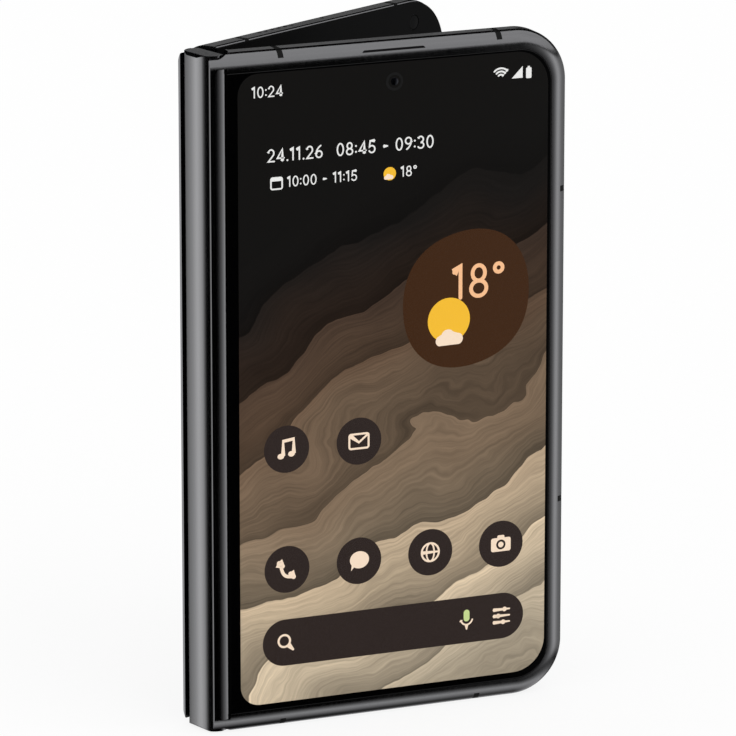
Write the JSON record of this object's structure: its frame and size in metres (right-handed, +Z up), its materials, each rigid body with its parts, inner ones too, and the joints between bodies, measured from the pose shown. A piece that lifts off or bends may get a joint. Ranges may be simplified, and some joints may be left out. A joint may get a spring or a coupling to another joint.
{
  "type": "foldable smartphone",
  "caption": "Book-style folding smartphone standing partly open: cover display in front, geared hinge with spine cover, folding inner display, raised camera bar behind.",
  "frame": {"origin": "centre of the front half's lower edge face, on which the phone stands", "axes": "+Z up along the hinge and the height, +X from the hinge towards the front half's free edge, +Y from the cover display to the rear"},
  "size_m": [0.0802, 0.0471, 0.1397],
  "materials": {
    "black_metal": "polished, anodised black",
    "spine_metal": "polished, anodised black",
    "black_glass": "glossy, backed in black",
    "inner_display": "glossy folding panel, switched off",
    "cover_display": "lit panel behind glass",
    "band_plastic": "satin",
    "bezel_plastic": "satin",
    "camera_black": "gloss black",
    "mesh": "fine dark mesh",
    "chassis": "machined",
    "cell": "foil pouch",
    "board": "solder mask",
    "copper": "lacquered copper",
    "flash": "ribbed lens",
    "steel": "satin"
  },
  "bodies": {
    "front_half": {"front_frame": "black_metal", "front_antenna_bands": "band_plastic", "front_hinge_rail": "black_metal", "cover_glass": "black_glass", "cover_display": "cover_display", "front_camera": "camera_black", "earpiece_mesh": "mesh", "earpiece_speaker": "mesh", "front_chassis_plate": "chassis", "front_battery": "cell", "front_board": "board", "front_magnets": "steel", "front_inner_bezel": "bezel_plastic", "front_inner_panel": "inner_display", "front_panel_backing": "steel", "front_hinge_arms": "steel", "front_sync_gears": "steel", "front_arm_screws": "steel"},
    "spine": {"spine_cover": "spine_metal", "hinge_pins": "steel", "idler_pins": "steel", "friction_washers": "steel", "folding_panel": "inner_display", "hinge_cable": "copper"},
    "front_idlers": {"front_idler_gears": "steel"},
    "rear_idlers": {"rear_idler_gears": "steel"},
    "rear_half": {"rear_frame": "black_metal", "rear_antenna_bands": "band_plastic", "rear_hinge_rail": "black_metal", "back_glass": "black_glass", "camera_bar": "black_metal", "camera_bar_glass": "black_glass", "lens_rings": "steel", "camera_modules": "camera_black", "camera_flash": "flash", "rear_chassis_plate": "chassis", "rear_battery": "cell", "main_board": "board", "shield_can": "steel", "board_screws": "steel", "charging_coil": "copper", "usb_port": "steel", "key_switches": "steel", "loudspeakers": "camera_black", "haptic_motor": "steel", "inner_camera": "camera_black", "rear_magnets": "steel", "rear_inner_bezel": "bezel_plastic", "rear_inner_panel": "inner_display", "rear_panel_backing": "steel", "rear_hinge_arms": "steel", "rear_sync_gears": "steel", "rear_arm_screws": "steel"},
    "power_key": {"power_button": "black_metal"},
    "volume_key": {"volume_rocker": "black_metal"},
    "sim_drawer": {"sim_tray": "black_metal"}
  },
  "joints": [
    {"name": "fold_front", "type": "hinge", "parent": "front_half", "child": "spine", "pos_m": [-0.0362, 0.00135, 0.06985], "axis": [0, 0, 1], "range_deg": [-14, 76], "deforming": ["folding_panel", "hinge_cable"]},
    {"name": "fold_rear", "type": "hinge", "parent": "spine", "child": "rear_half", "pos_m": [-0.03707, 0.00484, 0.06985], "axis": [0, 0, 1], "range_deg": [-14, 76]},
    {"name": "front_idler_spin", "type": "hinge", "parent": "spine", "child": "front_idlers", "pos_m": [-0.03651, 0.00258, 0.06985], "axis": [0, 0, 1], "range_deg": [-19.7, 106.5]},
    {"name": "rear_idler_spin", "type": "hinge", "parent": "spine", "child": "rear_idlers", "pos_m": [-0.03676, 0.00361, 0.06985], "axis": [0, 0, 1], "range_deg": [-106.5, 19.7]},
    {"name": "power_press", "type": "slide", "parent": "rear_half", "child": "power_key", "axis": [-0.8829, -0.4695, 0], "range_m": [0, 0.0003], "stiffness_N_per_m": 1500, "springref_m": -0.0002},
    {"name": "volume_rock", "type": "hinge", "parent": "rear_half", "child": "volume_key", "pos_m": [0.02812, 0.04103, 0.073], "axis": [0.4695, -0.8829, 0], "range_deg": [-1.2, 1.2], "stiffness_Nm_per_rad": 0.3},
    {"name": "sim_slide", "type": "slide", "parent": "rear_half", "child": "sim_drawer", "axis": [0.8829, 0.4695, 0], "range_m": [0, 0.014]}
  ],
  "couplings": [
    {"joint": "fold_rear", "follows": "fold_front", "ratio": 1},
    {"joint": "front_idler_spin", "follows": "fold_front", "ratio": 1.4},
    {"joint": "rear_idler_spin", "follows": "fold_front", "ratio": -1.4}
  ]
}
